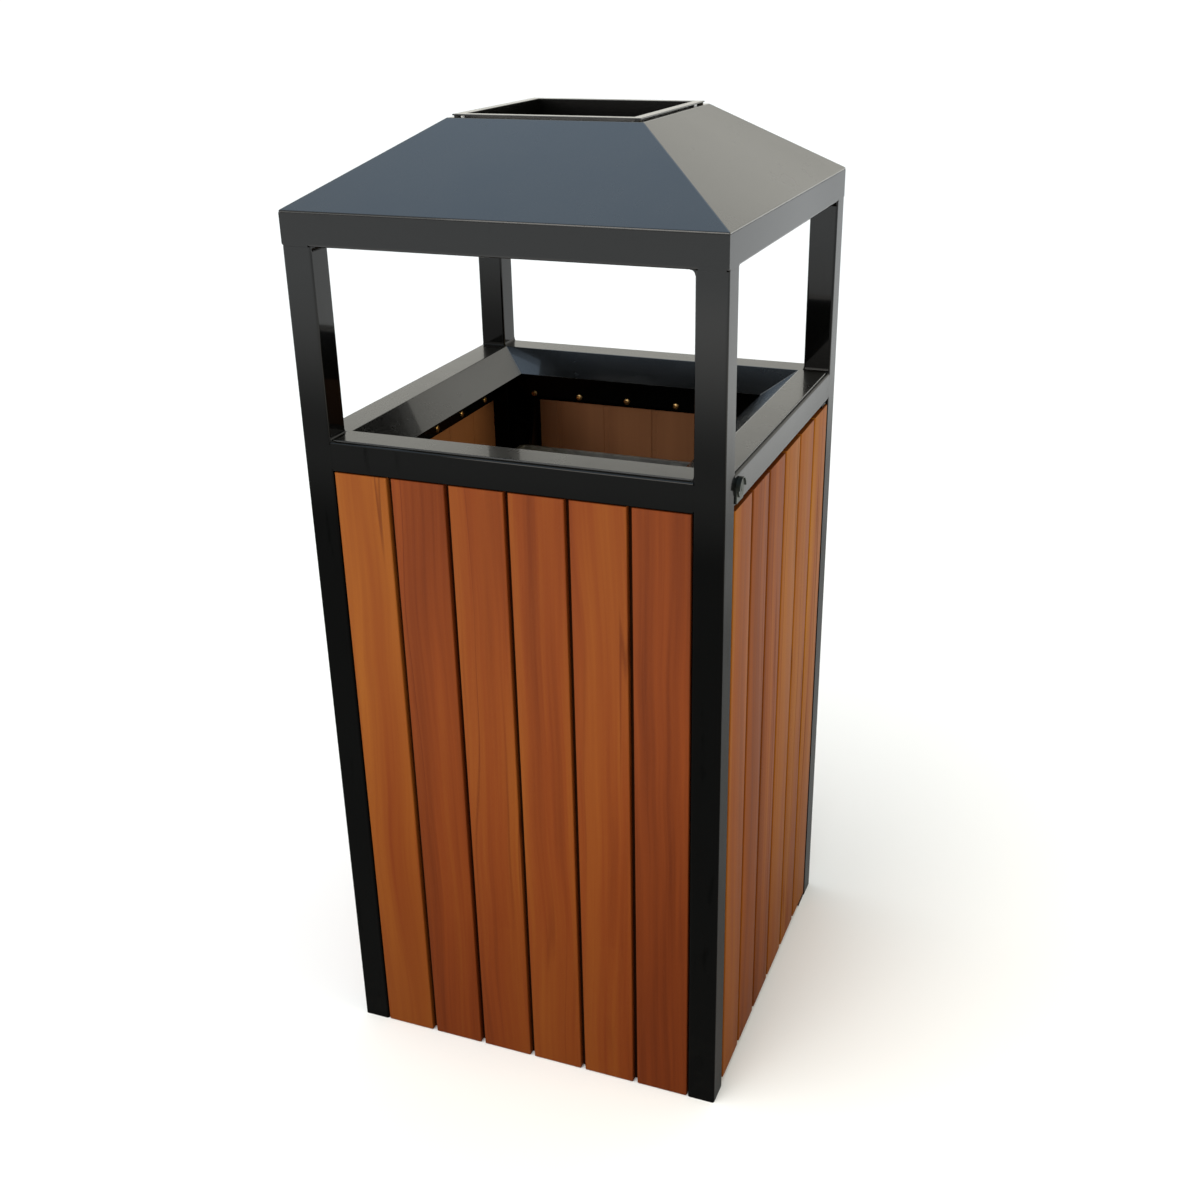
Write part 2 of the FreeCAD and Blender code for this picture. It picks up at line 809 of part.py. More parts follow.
def pad_disc(body, level, radius, thick):
    """A disc on the lock's axis, thickened outwards from its level"""
    sketch = make_sketch(body, "XZ_Plane", level)
    draw_circle(sketch, "-lock_along", "lock_level", radius)
    return pad(body, sketch, thick)


def cut_disc(body, level, radius, deep):
    sketch = make_sketch(body, "XZ_Plane", level)
    draw_circle(sketch, "-lock_along", "lock_level", radius)
    return cut(body, sketch, deep)


def make_lock_plate():
    """Arched plate on the rail's face, with a rain hood round its top"""
    body = make_body("lock_plate", RIGHT)
    face = "plan_half + plate_thick"
    foot = make_sketch(body, "XZ_Plane", "plan_half")
    edges = ("-lock_along - plate_half", "-lock_along + plate_half")
    draw_rectangle(foot, *edges, "lock_level - plate_foot", "lock_level")
    pad(body, foot, "plate_thick")
    pad_disc(body, "plan_half", "plate_half", "plate_thick + hood_out")
    cut_disc(body, face, "plate_half - hood_thick", "hood_out")
    below = make_sketch(body, "XZ_Plane", face)
    draw_rectangle(below, *edges, "lock_level - plate_foot", "lock_level")
    cut(body, below, "hood_out")
    cut_disc(body, "plan_half", "barrel_radius", "plate_thick")


def make_lock_barrel():
    body = make_body("lock_barrel", RIGHT)
    face = "plan_half + plate_thick"
    pad_disc(body, "barrel_back", "barrel_radius", f"{face} - barrel_back")
    pad_disc(body, face, "barrel_head_radius", "barrel_head_thick")
    cut_disc(body, "barrel_back", "plug_radius + running_slack", "plan_half")


def make_lock_nut():
    """Hexagon nut that clamps the barrel from inside the rail"""
    body = make_body("lock_nut", RIGHT)
    sketch = make_sketch(body, "XZ_Plane", "plan_half - tube - nut_thick")
    flats, corner = "nut_flats_half", f"nut_flats_half * {1 / math.cos(math.pi / 6):.6f}"
    draw_outline(sketch, [
        (f"-lock_along + {across}", f"lock_level + {up}") for across, up in (
            (corner, "0"), (f"{corner} / 2", flats), (f"-{corner} / 2", flats),
            (f"-{corner}", "0"), (f"-{corner} / 2", f"-{flats}"),
            (f"{corner} / 2", f"-{flats}"))
    ])
    draw_circle(sketch, "-lock_along", "lock_level", "barrel_radius")
    pad(body, sketch, "nut_thick")


def make_lock_plug():
    """Turning plug with a keyway in its face and a threaded hole for the cam's screw"""
    body = make_body("lock_plug", RIGHT)
    back = "barrel_back - cam_gap"
    face = "plan_half + plate_thick + barrel_head_thick"
    pad_disc(body, back, "plug_radius", f"{face} - ({back})")
    cut_disc(body, back, "cam_screw_radius", "cam_screw_deep")
    keyway = make_sketch(body, "XZ_Plane", f"{face} - keyway_deep")
    draw_rectangle(keyway, "-lock_along - keyway_half_wide", "-lock_along + keyway_half_wide",
                   "lock_level - keyway_half_high", "lock_level + keyway_half_high")
    cut(body, keyway, "keyway_deep")


def make_lock_cam():
    """Cam arm, drawn unlocked: it lies level and turns down to lock"""
    body = make_body("lock_cam", RIGHT)
    back = "barrel_back - cam_gap - cam_thick"
    arm = make_sketch(body, "XZ_Plane", back)
    draw_rectangle(arm, "-lock_along", "-lock_along + cam_reach",
                   "lock_level - cam_half_wide", "lock_level + cam_half_wide")
    pad(body, arm, "cam_thick")
    ends = make_sketch(body, "XZ_Plane", back)
    draw_holes(ends, ("-lock_along", "-lock_along + cam_reach"), ("lock_level",),
               "cam_half_wide")
    pad(body, ends, "cam_thick")
    cut_disc(body, back, "cam_screw_radius", "cam_thick")
    screw = make_body("lock_cam_screw", RIGHT)
    pad_disc(screw, f"{back} - cam_screw_head_high", "cam_screw_head_radius",
             "cam_screw_head_high")
    pad_disc(screw, back, "cam_screw_radius", "cam_thick + cam_screw_deep")


# ---- whole bin -----------------------------------------------------------------------

def check_model():
    """Stop on a failed feature, a bad shape, or a cut that took nothing away"""
    for item in doc.Objects:
        if "Invalid" in item.State or "Error" in item.State:
            raise RuntimeError(f"{item.Name} failed: {item.State}")
    for before, after in cuts:
        if after.Shape.Volume > before.Shape.Volume - NEAR:
            raise RuntimeError(f"{after.Name} cuts nothing")
    for node in nodes:
        if node.Shape.isNull() or not node.Shape.isValid() or not node.Shape.Solids:
            raise RuntimeError(f"{node.Label} has no valid solid")


make_posts()
make_eave_beams()
make_top_rails()
make_bottom_rails()
make_foot_plates()
make_floor_pan()
make_fixing_bars()
make_slats()
make_screws("slat_screws", (FRONT, BACK, LEFT), "slat_wide")
make_screws("door_screws", (RIGHT,), DOOR_SLAT)
make_roof()
make_ash_pan()
make_funnel()
make_liner()
make_liner_ears()
make_liner_handles()
make_door_frame()
make_door_pivots()
make_pivot_tab()
make_door_catch()
make_lock_plate()
make_lock_barrel()
make_lock_nut()
make_lock_plug()
make_lock_cam()
doc.recompute()
check_model()

os.makedirs("parts", exist_ok=True)
for node in nodes:
    node.Shape.exportStep(f"parts/{node.Label}.step")
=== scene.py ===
"""Looks of a square street litter bin: painted steel frame, timber slats, zinc liner."""

import json
import math

import bmesh
import bpy
from bpy.props import FloatProperty, FloatVectorProperty, IntProperty, PointerProperty
from bpy.types import Operator, Panel, PropertyGroup
from mathutils import Matrix, Vector

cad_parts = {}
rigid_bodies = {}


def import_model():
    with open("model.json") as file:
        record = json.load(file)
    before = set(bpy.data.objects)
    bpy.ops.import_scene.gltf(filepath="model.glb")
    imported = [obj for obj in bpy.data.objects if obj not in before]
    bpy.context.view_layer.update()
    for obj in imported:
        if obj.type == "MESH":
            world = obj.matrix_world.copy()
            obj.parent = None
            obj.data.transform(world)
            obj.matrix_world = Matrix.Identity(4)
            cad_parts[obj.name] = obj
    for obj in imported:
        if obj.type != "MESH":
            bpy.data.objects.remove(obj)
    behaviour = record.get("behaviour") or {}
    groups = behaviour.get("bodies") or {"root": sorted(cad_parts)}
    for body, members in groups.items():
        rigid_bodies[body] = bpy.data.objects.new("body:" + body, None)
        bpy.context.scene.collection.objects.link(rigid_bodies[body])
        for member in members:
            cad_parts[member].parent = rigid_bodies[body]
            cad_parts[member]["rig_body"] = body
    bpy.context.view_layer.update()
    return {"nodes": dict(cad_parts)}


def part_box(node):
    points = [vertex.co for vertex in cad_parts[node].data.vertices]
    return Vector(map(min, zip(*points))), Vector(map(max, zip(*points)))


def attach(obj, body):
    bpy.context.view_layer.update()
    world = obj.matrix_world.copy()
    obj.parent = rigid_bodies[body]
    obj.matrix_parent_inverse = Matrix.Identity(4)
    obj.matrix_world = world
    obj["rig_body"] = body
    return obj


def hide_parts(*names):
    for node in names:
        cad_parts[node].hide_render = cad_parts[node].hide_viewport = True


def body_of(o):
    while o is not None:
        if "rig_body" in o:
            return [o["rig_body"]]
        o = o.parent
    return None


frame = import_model()

bl_info = {
    "name": "Street litter bin",
    "version": (1, 0, 0),
    "blender": (4, 5, 0),
    "location": "3D View > Sidebar > Litter bin",
    "description": "Finishes and small pieces of a slatted litter bin, and its stage",
    "category": "Object",
}

MM = 0.001
QUARTER = math.pi / 2
WALLS = ("front", "right", "back", "left")
CORNERS = ("front_left", "front_right", "back_right", "back_left")
SLATS = 6
SCREW_ROWS = (32.0 * MM, 648.0 * MM)
SCREW_SEAT = 200.0 * MM
SCREW_HIGH = 2.2 * MM
SCREW_REACH = 13.0 * MM
SCREW_SHANK = 2.0 * MM
FLOOR_HALF = 14.0
# points closer than this are one: of the CAD meshes, and of a board
TOUCHING = 0.001 * MM
BOARD_JOIN = 0.01 * MM
# angles between faces, in radians: still flat, a fold to round, a hard edge to keep
FLAT_BEND = math.radians(0.4)
FOLD_BEND = math.radians(25)
SHARP_BEND = 0.6
# name, kind, place, size or angle, power, colour
LAMPS = (
    ("high_light", "SUN", (-1.0, -1.6, 3.6), 1.2, 2.15, (1.0, 0.98, 0.95)),
    ("front_box", "AREA", (-0.9, -3.6, 2.0), 1.8, 30.0, (1.0, 0.96, 0.90)),
    ("right_box", "AREA", (3.2, -0.3, 2.2), 1.6, 38.0, (1.0, 0.80, 0.42)))
LAMP_TARGET = Vector((0.0, 0.0, 0.55))


# ---- settings ------------------------------------------------------------------------

def colour(name, description, default):
    return FloatVectorProperty(
        name=name, description=description, subtype="COLOR", size=3,
        default=default, min=0.0, max=1.0)


def length(name, description, default):
    return FloatProperty(
        name=name, description=description, subtype="DISTANCE", unit="LENGTH",
        default=default, min=0.0)


def angle(name, description, default):
    return FloatProperty(
        name=name, description=description, subtype="ANGLE", unit="ROTATION",
        default=math.radians(default))


class BinFinishSettings(PropertyGroup):
    paint: colour("Paint", "Black powder coat on the frame", (0.0018, 0.0019, 0.0018))
    paint_dust: colour("Dust", "Dust on level faces", (0.11, 0.105, 0.09))
    timber_light: colour("Pale timber", "Palest streaks", (0.290, 0.090, 0.013))
    timber_mid: colour("Timber", "Most of the wood", (0.200, 0.043, 0.008))
    # paler than the outer timber: bare wood, and painted light as well, brightening inner faces
    # that get little light
    inner_timber_painted_lit: colour("Inner timber", "Bare inner faces", (0.42, 0.19, 0.090))
    timber_dark: colour("Dark timber", "Dark streaks", (0.090, 0.016, 0.004))
    zinc: colour("Zinc", "Galvanised sheet", (0.42, 0.43, 0.43))
    nickel: colour("Nickel", "Lock, dark with age", (0.07, 0.078, 0.07))
    screw: colour("Screws", "Yellow zinc plating", (0.72, 0.47, 0.20))
    rubber: colour("Rubber", "Buffers under the ash pan", (0.02, 0.02, 0.02))


class BinDetailSettings(PropertyGroup):
    fold: length("Roof fold", "Rounding of the roof's folds", 0.9 * MM)
    funnel_edge: length("Funnel edge", "Rounding of the funnel's folds", 0.6 * MM)
    pan_edge: length("Pan edge", "Rounding of the ash pan's edges", 0.48 * MM)
    bar_edge: length("Bar edge", "Rounding of the bars and feet", 0.36 * MM)
    door_edge: length("Door edge", "Rounding of the door's metal", 0.35 * MM)
    tube_edge: length("Tube edge", "Rounding of the tubes' cut ends", 0.3 * MM)
    liner_edge: length("Liner edge", "Rounding of the liner's sheet", 0.35 * MM)
    ear_edge: length("Ear edge", "Rounding of the handle ears", 0.5 * MM)
    handle_edge: length("Handle edge", "Rounding of the handles' ends", 0.4 * MM)
    buffer_edge: length("Buffer edge", "Rounding of the rubber buffers", 0.3 * MM)
    lock_edge: length("Lock edge", "Rounding of the lock's parts", 0.25 * MM)
    slat_ease: length("Slat ease", "Rounding of the slats' long edges", 1.5 * MM)
    slat_lip: length("Slat lip", "Thickness of the lip behind each gap", 4.0 * MM)
    lip_tuck: length("Lip tuck", "How far the lip runs on, under the next slat's edge", 1.0 * MM)
    lip_sink: length("Lip sink", "How far the lip lies below the slat's inner face", 0.9 * MM)
    first_board: IntProperty(
        name="First board", description="Number that picks the boards' tones", default=169)
    weld: length("Weld", "Radius of the fillet that a weld leaves", 4.0 * MM)
    tube_corner: length("Tube corner", "Rounding of the tubes' corners", 2.5 * MM)
    weld_step: length("Weld step", "Distance between a weld's ripples", 1.6 * MM)
    weld_stop: length("Weld stop", "Post width that a weld leaves bare", 2.6 * MM)
    screw_head: length("Screw head", "Radius of a screw's head", 4.0 * MM)
    seed: IntProperty(name="Seed", description="Seed of the random turns", default=7)


class BinStageSettings(PropertyGroup):
    azimuth: angle("Azimuth", "Camera's turn from the front, towards the door", 21.068)
    elevation: angle("Elevation", "Camera's height above the level", 24.438)
    roll: angle("Roll", "Camera's tilt about its own axis", -0.797)
    distance: length("Distance", "From the camera to the point it aims at", 1.5845)
    aim: FloatVectorProperty(
        name="Aim", description="Point near the bin's axis that the camera aims at",
        subtype="XYZ", unit="LENGTH", size=3, default=(0.0283, 0.0109, 0.4640))
    lens: FloatProperty(
        name="Lens", description="Focal length in millimetres", default=42.12, min=1.0)
    shift: FloatVectorProperty(
        name="Shift", description="Camera's shift in the frame", size=2,
        default=(-0.0176, 0.0077))
    floor: colour("Floor", "Pale floor", (0.90, 0.88, 0.85))
    sky: colour("Sky", "Light from straight above", (0.60, 0.77, 0.96))
    horizon: colour("Horizon", "Light from behind the bin", (0.64, 0.63, 0.575))


# ---- node trees ----------------------------------------------------------------------

class Wire:
    """An output socket; arithmetic on it adds Math nodes"""

    def __init__(self, graph, socket):
        self.graph = graph
        self.socket = socket

    def maths(self, operation, *values):
        return self.graph.wire("ShaderNodeMath", 0, {"operation": operation},
                               dict(enumerate(values)))

    def __add__(self, other):
        return self.maths("ADD", self, other)

    def __sub__(self, other):
        return self.maths("SUBTRACT", self, other)

    def __rsub__(self, other):
        return self.maths("SUBTRACT", other, self)

    def __mul__(self, other):
        return self.maths("MULTIPLY", self, other)

    def __gt__(self, other):
        return self.maths("GREATER_THAN", self, other)

    def __lt__(self, other):
        return self.maths("LESS_THAN", self, other)

    __radd__ = __add__
    __rmul__ = __mul__

    def absolute(self):
        return self.maths("ABSOLUTE", self)

    def sine(self):
        return self.maths("SINE", self)

    def fraction(self):
        return self.maths("FRACT", self)

    def clamped(self):
        return self.graph.wire("ShaderNodeClamp", 0, {}, {"Value": self})

    def ramp(self, low, high):
        """0 below low, 1 above high, and smooth between"""
        return self.graph.wire("ShaderNodeMapRange", 0, {"interpolation_type": "SMOOTHSTEP"},
                               {"Value": self, "From Min": low, "From Max": high})


class Graph:
    """Builds one node tree"""

    def __init__(self, tree):
        self.tree = tree
        tree.nodes.clear()

    def node(self, kind, settings, inputs):
        """A node with its settings, then the values or links of its inputs"""
        made = self.tree.nodes.new(kind)
        for name, value in settings.items():
            if name == "stops":
                fill_ramp(made.color_ramp, value)
            else:
                setattr(made, name, value)
        for name, value in inputs.items():
            for each in value if isinstance(value, list) else [value]:
                if isinstance(each, Wire):
                    self.tree.links.new(each.socket, made.inputs[name])
                else:
                    made.inputs[name].default_value = each
        return made

    def wire(self, kind, output=0, settings=None, inputs=None):
        return Wire(self, self.node(kind, settings or {}, inputs or {}).outputs[output])

    def vector(self, x, y, z):
        return self.wire("ShaderNodeCombineXYZ", 0, {}, {"X": x, "Y": y, "Z": z})

    def split(self, vector):
        """The three parts of a vector"""
        parts = self.node("ShaderNodeSeparateXYZ", {}, {"Vector": vector})
        return [Wire(self, socket) for socket in parts.outputs]

    def mix(self, factor, first, second, blend="MIX"):
        """Two colours mixed"""
        return self.wire("ShaderNodeMix", 2, {"data_type": "RGBA", "blend_type": blend},
                         {0: factor, 6: rgba(first), 7: rgba(second)})


class Finish(Graph):
    """Builds one material"""

    def __init__(self, name):
        self.material = bpy.data.materials.new(name)
        self.material.use_nodes = True
        super().__init__(self.material.node_tree)

    def place(self, scale=(1.0, 1.0, 1.0), shift=(0.0, 0.0, 0.0)):
        """Object coordinates, stretched and moved"""
        coordinates = self.wire("ShaderNodeTexCoord", "Object")
        return self.wire("ShaderNodeMapping", 0, {},
                         {"Vector": coordinates, "Scale": scale, "Location": shift})

    def normal(self):
        return self.split(self.wire("ShaderNodeTexCoord", "Normal"))

    def noise(self, vector, scale, detail=2.0, roughness=0.5, distortion=0.0):
        return self.wire("ShaderNodeTexNoise", 0, {}, {
            "Vector": vector, "Scale": scale, "Detail": detail,
            "Roughness": roughness, "Distortion": distortion})

    def bump(self, height, strength, distance, under=None):
        inputs = {"Height": height, "Strength": strength, "Distance": distance}
        if under:
            inputs["Normal"] = under
        return self.wire("ShaderNodeBump", 0, {}, inputs)

    def done(self, inputs):
        """Adds the surface shader and the output, and returns the material"""
        surface = self.wire("ShaderNodeBsdfPrincipled", 0, {}, inputs)
        self.node("ShaderNodeOutputMaterial", {}, {"Surface": surface})
        return self.material


def rgba(shade):
    """A colour with full alpha; a wire stays as it is"""
    return shade if isinstance(shade, Wire) else (*shade[:3], 1.0)


def times(shade, factor):
    return [min(1.0, factor * part) for part in shade]


def fill_ramp(ramp, stops):
    while len(ramp.elements) > 1:
        ramp.elements.remove(ramp.elements[-1])
    ramp.elements[0].position = stops[0][0]
    ramp.elements[0].color = rgba(stops[0][1])
    for place, shade in stops[1:]:
        ramp.elements.new(place).color = rgba(shade)


# ---- finishes ------------------------------------------------------------------------

ROOF_GLOSS = (0.72, 0.88)
RAIL_GLOSS = (0.62, 0.70)
WHITE = (1.0, 1.0, 1.0)
# painted shade at the timber's foot
LOW_PAINTED_SHADE = (0.70, 0.66, 0.66)
# painted warm light on the right side wall
WARM_PAINTED_LIGHT = (1.10, 1.34, 0.80)
# painted shade in the gaps between the slats
GAP_PAINTED_SHADE = (0.004, 0.002, 0.001)
INNER_FACE = 0.05


def paint_finish(name, finishes, specular, ripple):
    """Powder coat: faint orange peel and waves, dust on what faces up, dull low walls"""
    g = Finish(name)
    where = g.place()
    _, along, height = g.split(where)
    facing_x, _, facing_up = g.normal()
    patches = g.noise(where, 9.0, 5.0, 0.6)
    specks = g.noise(where, 320.0, 3.0, 0.7)
    scuffs = g.noise(g.place((1.0, 1.0, 0.15)), 90.0, 4.0, 0.6).ramp(0.60, 0.85)
    splashes = g.noise(where, 38.0, 6.0, 0.7)
    level = facing_up.ramp(0.70, 0.98)
    grime = (1.0 - height.ramp(0.0, 0.14)) * splashes.ramp(0.45, 0.75)
    settled = (level * (patches.ramp(0.30, 0.75) * 0.35 + specks * 0.15) + grime * 0.15)
    settled = settled.clamped()
    base = g.mix(patches, times(finishes.paint, 0.75), times(finishes.paint, 1.3))
    shade = g.mix(settled * 0.20, base, finishes.paint_dust)
    waves = g.bump(g.noise(where, 5.0, 1.0), ripple, 0.004)
    peel = g.bump(g.noise(where, 700.0, 2.0), 0.02, 0.0004, waves)
    # the gloss starts lower on the side walls, and lower still behind their front posts
    side_walls = facing_x.absolute().ramp(0.6, 0.8)
    rise = height + side_walls * (0.07 + along.ramp(-0.20, -0.15) * 0.07)
    shine = (rise.ramp(*ROOF_GLOSS) * 0.82 + rise.ramp(*RAIL_GLOSS) * 0.13
             + facing_up.ramp(0.10, 0.60) + 0.03)
    # and the coat is rubbed dull on faces that look right or straight up
    right = facing_x.ramp(0.40, 0.70)
    rubbed = (facing_x.ramp(0.15, 0.35) * along.ramp(0.0, 0.20) * (0.38 - right * 0.22)
              + right * 0.28 + facing_up.ramp(0.93, 0.99) * 0.42)
    return g.done({
        "Base Color": shade, "Roughness": 0.20 + patches * 0.05 + settled * 0.2 + scuffs * 0.1,
        "Specular IOR Level": specular, "Normal": peel,
        "Coat Weight": (shine - settled * 0.25 - scuffs * 0.10).clamped() * (1.0 - rubbed),
        "Coat Roughness": 0.05})


def timber_finish(name, finishes):
    """Oiled boards: each has its own tone, and grain that wanders up it"""
    g = Finish(name)
    x, y, up = g.split(g.place())
    board = g.wire("ShaderNodeAttribute", "Fac", {"attribute_name": "board"})
    # a number from 0 to 1 that jumps from board to board
    tone = ((board * 12.9898).sine() * 437.585).fraction()
    drift, turn, _ = g.split(g.wire(
        "ShaderNodeTexWhiteNoise", "Color", {"noise_dimensions": "1D"}, {"W": board}))
    side_wall = x.absolute() > y.absolute()
    across = x + (y - x) * side_wall
    depth = y + (x - y) * side_wall
    slide = drift * 9.0 + turn * 3.0
    sway = g.noise(g.vector(across * 0.4, slide, up * 0.55), 4.0, 2.0) - 0.5
    bent = across + sway * 0.035
    figure = g.noise(g.vector(bent, slide, up * 0.030), 34.0, 3.0, 0.55)
    bands = g.noise(g.vector(bent, slide + 4.0, up * 0.10), 11.0, 2.0, 0.5)
    streaks = g.noise(g.vector(bent, slide + depth, up * 0.015), 190.0, 3.0, 0.6)
    pores = g.noise(g.vector(bent, depth + slide, up * 0.05), 1500.0, 2.0, 0.5)
    lines = (g.noise(g.vector(bent, slide + 7.0, up * 0.020), 42.0, 1.0) - 0.5).absolute()
    dark_line = (1.0 - lines.ramp(0.0, 0.020)) * bands.ramp(0.42, 0.58)
    mixed = figure * 0.82 + bands * 0.62 + streaks * 0.32 + tone * 0.32 - 0.54
    shade = g.wire("ShaderNodeValToRGB", 0, {"stops": [
        (0.18, finishes.timber_dark), (0.48, finishes.timber_mid),
        (0.84, finishes.timber_light)]}, {"Fac": mixed.clamped()})
    # painted shade: the boards grow darker towards their foot, over the lowest half metre
    painted_low_shade = g.mix(up.ramp(0.0, 0.50), LOW_PAINTED_SHADE, WHITE)
    shade = g.mix(1.0, shade, painted_low_shade, "MULTIPLY")
    # painted light: the right side wall is tinted warmer and yellower, as if lit by warm light
    # from the right, and its coat is thinned there
    painted_light_side = side_wall * (x > 0.0)
    shade = g.mix(painted_light_side, shade, g.mix(1.0, shade, WARM_PAINTED_LIGHT, "MULTIPLY"))
    shade = g.mix(dark_line * 0.62 + pores.ramp(0.62, 0.85) * 0.15, shade,
                  finishes.timber_dark)
    facing_x, facing_y, facing_up = g.normal()
    end_grain = facing_up.absolute().ramp(0.6, 0.9)
    shade = g.mix(end_grain * 0.6, shade, finishes.timber_dark)
    # depth times the normal is negative only on faces that look at the bin's axis
    inward = 0.0 > (facing_y + (facing_x - facing_y) * side_wall) * depth + INNER_FACE
    # inner faces: bare timber, painted paler as well to stand in for the light that barely
    # reaches inside
    bare_and_painted_lit = g.mix(figure, times(finishes.inner_timber_painted_lit, 0.75), times(finishes.inner_timber_painted_lit, 1.2))
    shade = g.mix(inward * 0.85, shade, bare_and_painted_lit)
    lip = g.wire("ShaderNodeAttribute", "Fac", {"attribute_name": "lip"})
    # painted shade: the lips' outer faces, seen through the gaps between the slats, are made
    # near black
    shade = g.mix(lip * (1.0 - inward) * 0.92, shade, GAP_PAINTED_SHADE)
    relief = g.bump(streaks * 0.6 + figure * 0.3 - dark_line * 0.4 - pores * 0.2, 0.08, 0.0010)
    return g.done({
        "Base Color": shade, "Specular IOR Level": 0.02, "Normal": relief,
        "Roughness": 0.40 + streaks * 0.16 + dark_line * 0.1 + end_grain * 0.3,
        "Coat Weight": (up.ramp(0.15, 0.68) * 0.14 + 0.02) * (1.0 - lip) * (1.0 - painted_light_side * 0.6),
        "Coat Roughness": 0.26})


def zinc_finish(name, finishes):
    """Hot-dip zinc: crystals that differ in tone and gloss, under a dull bloom"""
    g = Finish(name)
    where = g.place()
    crystal = g.split(g.wire("ShaderNodeTexVoronoi", "Color", {},
                             {"Vector": where, "Scale": 85.0}))[0]
    bloom = g.noise(where, 12.0, 5.0, 0.65)
    runs = g.noise(g.place((1.0, 1.0, 0.08)), 60.0, 3.0, 0.6)
    tone = (crystal * 0.45 + bloom * 0.35 + runs * 0.25).clamped()
    shade = g.mix(tone, times(finishes.zinc, 0.65), times(finishes.zinc, 1.3))
    return g.done({
        "Base Color": shade, "Metallic": 0.85 - bloom * 0.2,
        "Roughness": 0.28 + crystal * 0.12 + bloom * 0.16,
        "Normal": g.bump(crystal + runs * 0.5, 0.06, 0.0006)})


def plated_finish(name, shade, gloss):
    """Plated metal, faintly brushed and dull in patches"""
    g = Finish(name)
    patches = g.noise(g.place(), 70.0, 4.0, 0.6)
    brushed = g.noise(g.place((1.0, 1.0, 14.0)), 420.0, 2.0)
    tone = g.mix(patches, times(shade, 0.7), times(shade, 1.25))
    return g.done({
        "Base Color": tone, "Metallic": 1.0, "Roughness": gloss + patches * 0.22,
        "Normal": g.bump(brushed, 0.06, 0.0003)})


def rubber_finish(name, finishes):
    g = Finish(name)
    grain = g.noise(g.place(), 900.0, 3.0)
    shade = g.mix(grain, finishes.rubber, times(finishes.rubber, 2.5))
    return g.done({"Base Color": shade, "Roughness": 0.65 + grain * 0.2,
                   "Normal": g.bump(grain, 0.2, 0.0003)})


FINISHES = {
    "frame_paint": ("powder_coat", lambda name, f: paint_finish(name, f, 0.01, 0.03)),
    "pan_paint": ("pan_powder_coat", lambda name, f: paint_finish(name, f, 0.30, 0.03)),
    "sheet_paint": ("sheet_powder_coat", lambda name, f: paint_finish(name, f, 0.50, 0.05)),
    "slat_timber": ("oiled_timber", timber_finish),
    "liner_zinc": ("galvanised_sheet", zinc_finish),
    "handle_zinc": ("bright_zinc", lambda name, f: plated_finish(name, f.zinc, 0.26)),
    "lock_metal": ("nickel_plate", lambda name, f: plated_finish(name, f.nickel, 0.34)),
    "screw_brass": ("yellow_zinc", lambda name, f: plated_finish(name, f.screw, 0.22)),
    "buffer_rubber": ("black_rubber", rubber_finish),
}


def finish(slot):
    """The material of one of the record's slots, or of the glossier sheet paint"""
    name, make = FINISHES[slot]
    return bpy.data.materials.get(name) or make(name, bpy.context.scene.bin_finishes)


def dress(piece, material):
    piece.data.materials.clear()
    piece.data.materials.append(material)


# ---- meshes --------------------------------------------------------------------------

def add_object(name, mesh):
    made = bpy.data.objects.new(name, mesh)
    bpy.context.scene.collection.objects.link(made)
    return made


def plain_copy(name, source):
    """What an object's modifiers make of it, as a new object; the source is removed"""
    bpy.context.view_layer.update()
    evaluated = source.evaluated_get(bpy.context.evaluated_depsgraph_get())
    mesh = bpy.data.meshes.new_from_object(evaluated)
    mesh.name = name
    bpy.data.objects.remove(source)
    return add_object(name, mesh)


def mesh_from(shape, name):
    mesh = bpy.data.meshes.new(name)
    shape.to_mesh(mesh)
    shape.free()
    return mesh


def softened(node, slot, width, material=None, segments=3):
    """A copy of a CAD node with its cut and folded edges rounded, shown in its place"""
    source = frame["nodes"][node]
    shape = bmesh.new()
    shape.from_mesh(source.data)
    bmesh.ops.remove_doubles(shape, verts=shape.verts, dist=TOUCHING)
    bmesh.ops.dissolve_limit(shape, angle_limit=FLAT_BEND, verts=shape.verts,
                             edges=shape.edges)
    for face in shape.faces:
        face.smooth = True
    work = add_object("work", mesh_from(shape, "work"))
    bevel = work.modifiers.new("Rounded edges", "BEVEL")
    bevel.width = width
    bevel.segments = segments
    bevel.limit_method = "ANGLE"
    bevel.angle_limit = FOLD_BEND
    bevel.harden_normals = True
    work.modifiers.new("Flat faces", "WEIGHTED_NORMAL").keep_sharp = True
    piece = plain_copy(node + "_shell", work)
    return settle(piece, slot, body_of(source)[0], [node], material)


def settle(piece, slot, body, nodes, material=None):
    """Gives the piece its slot's finish, hides the CAD nodes it stands for, and hangs it on its
    body
    """
    dress(piece, material or finish(slot))
    if nodes:
        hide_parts(*nodes)
    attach(piece, body)
    return piece


# ---- geometry nodes ------------------------------------------------------------------

